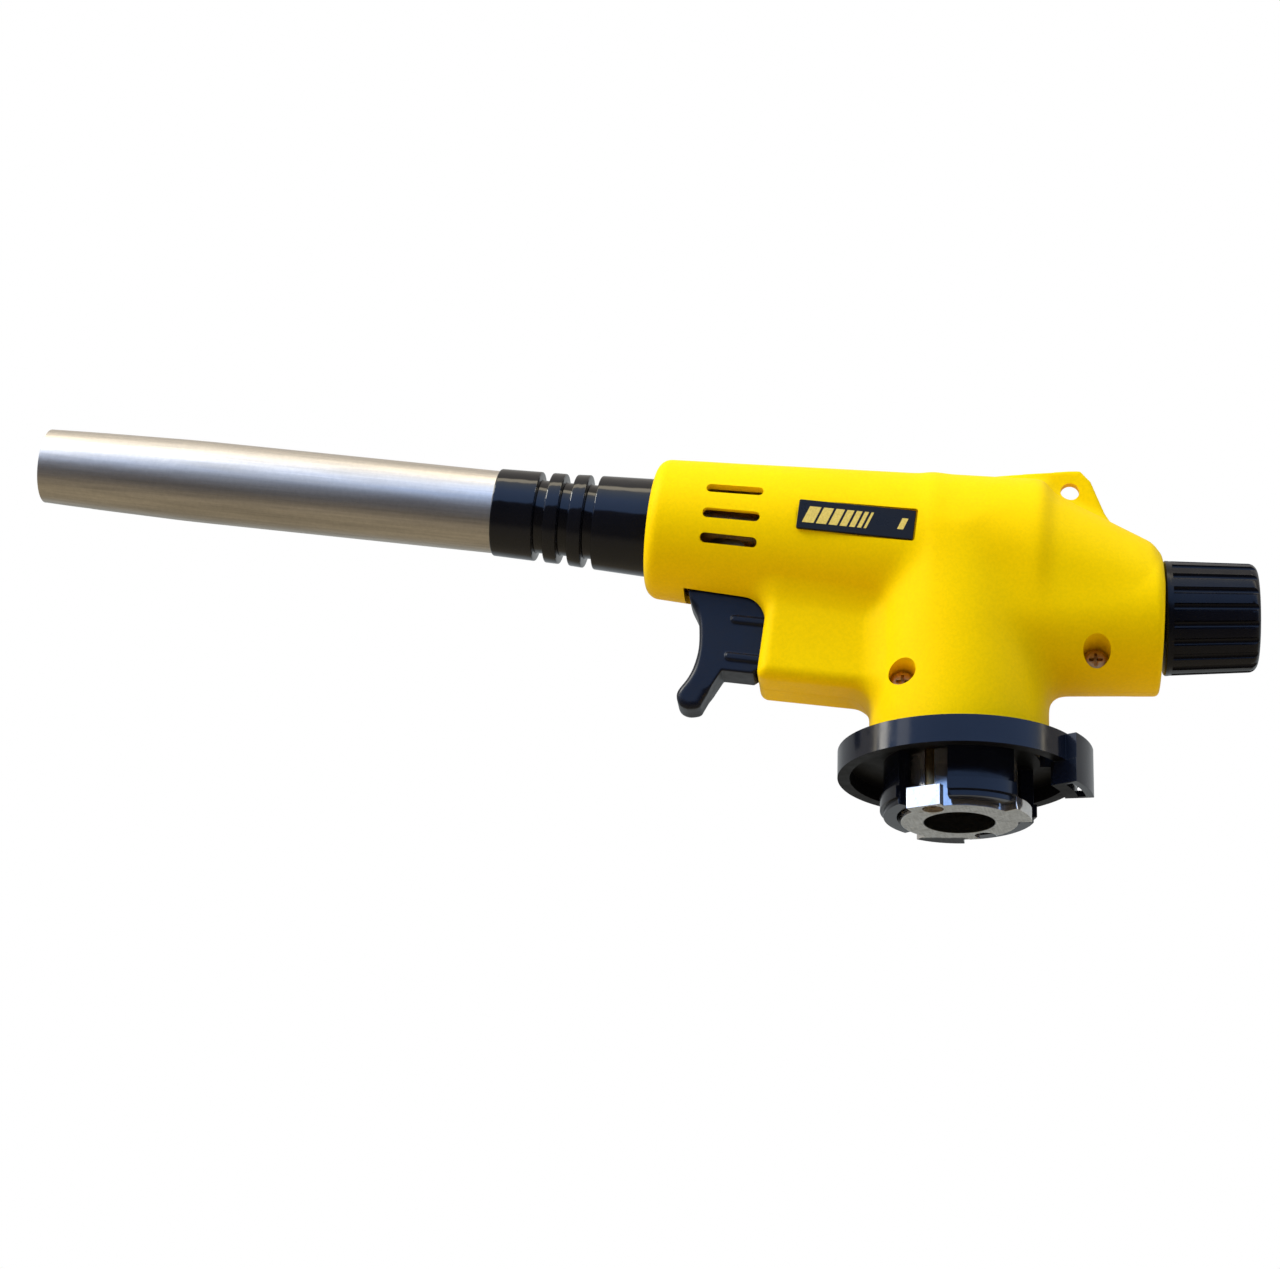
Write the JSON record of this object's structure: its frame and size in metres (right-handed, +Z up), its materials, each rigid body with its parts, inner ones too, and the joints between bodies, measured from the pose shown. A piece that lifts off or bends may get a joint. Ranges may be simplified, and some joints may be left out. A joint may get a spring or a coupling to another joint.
{
  "type": "gas torch head",
  "caption": "Hand-held piezo gas torch head with a steel flame tube, yellow housing, trigger, control knob and a collar that clips on a gas cartridge.",
  "frame": {"origin": "centre of the cartridge socket at the connector's lower face", "axes": "+Z up along the cartridge axis, the flame tube points along -X and rises 6.7 degrees, +Y to the right-hand side of the torch seen from behind"},
  "size_m": [0.2497, 0.048, 0.0853],
  "materials": {
    "housing_plastic": "moulded satin",
    "phenolic_black": "gloss",
    "collar_plastic": "gloss",
    "trigger_plastic": "satin",
    "knob_plastic": "satin",
    "label_black": "gloss",
    "stainless": "brushed",
    "chromed_casting": "machined face",
    "brass": "turned",
    "plated_steel": "zinc plated",
    "spring_steel": "drawn wire",
    "seal_rubber": "matt",
    "ceramic_white": "matt",
    "igniter_plastic": "satin",
    "lead_silicone": "satin",
    "sintered_bronze": "sintered"
  },
  "bodies": {
    "torch": {"housing_left": "housing_plastic", "housing_right": "housing_plastic", "housing_screws": "plated_steel", "label_plate": "label_black", "heat_sleeve": "phenolic_black", "flame_tube": "stainless", "burner_body": "brass", "jet_nozzle": "brass", "flame_holder": "brass", "ceramic_insulator": "ceramic_white", "electrode_wire": "spring_steel", "ignition_lead": "lead_silicone", "earth_strap": "brass", "collar_ring": "collar_plastic", "valve_connector": "chromed_casting", "connector_screws": "plated_steel", "inlet_seal": "seal_rubber", "inlet_pin": "brass", "inlet_filter": "sintered_bronze", "valve_body": "brass", "gland_nut": "brass", "gas_pipe": "brass", "piezo_case": "igniter_plastic", "piezo_spring": "spring_steel", "piezo_anvil": "plated_steel", "piezo_crystal": "ceramic_white"},
    "trigger": {"trigger": "trigger_plastic", "piezo_plunger": "igniter_plastic"},
    "hammer": {"piezo_hammer": "plated_steel"},
    "knob": {"control_knob": "knob_plastic", "knob_clip": "spring_steel", "valve_spindle": "brass", "spindle_oring": "seal_rubber"}
  },
  "joints": [
    {"name": "trigger_pull", "type": "slide", "parent": "torch", "child": "trigger", "axis": [0.9932, 0, -0.1163], "range_m": [0, 0.0065], "stiffness_N_per_m": 2500, "springref_m": -0.004, "deforming": ["piezo_spring"]},
    {"name": "hammer_strike", "type": "slide", "parent": "torch", "child": "hammer", "axis": [0.9932, 0, -0.1163], "range_m": [0, 0.002], "stiffness_N_per_m": 1500, "springref_m": -0.001},
    {"name": "knob_turn", "type": "hinge", "parent": "torch", "child": "knob", "pos_m": [0.05, 0, 0.04267], "axis": [1, 0, 0], "range_deg": [0, 540]}
  ]
}
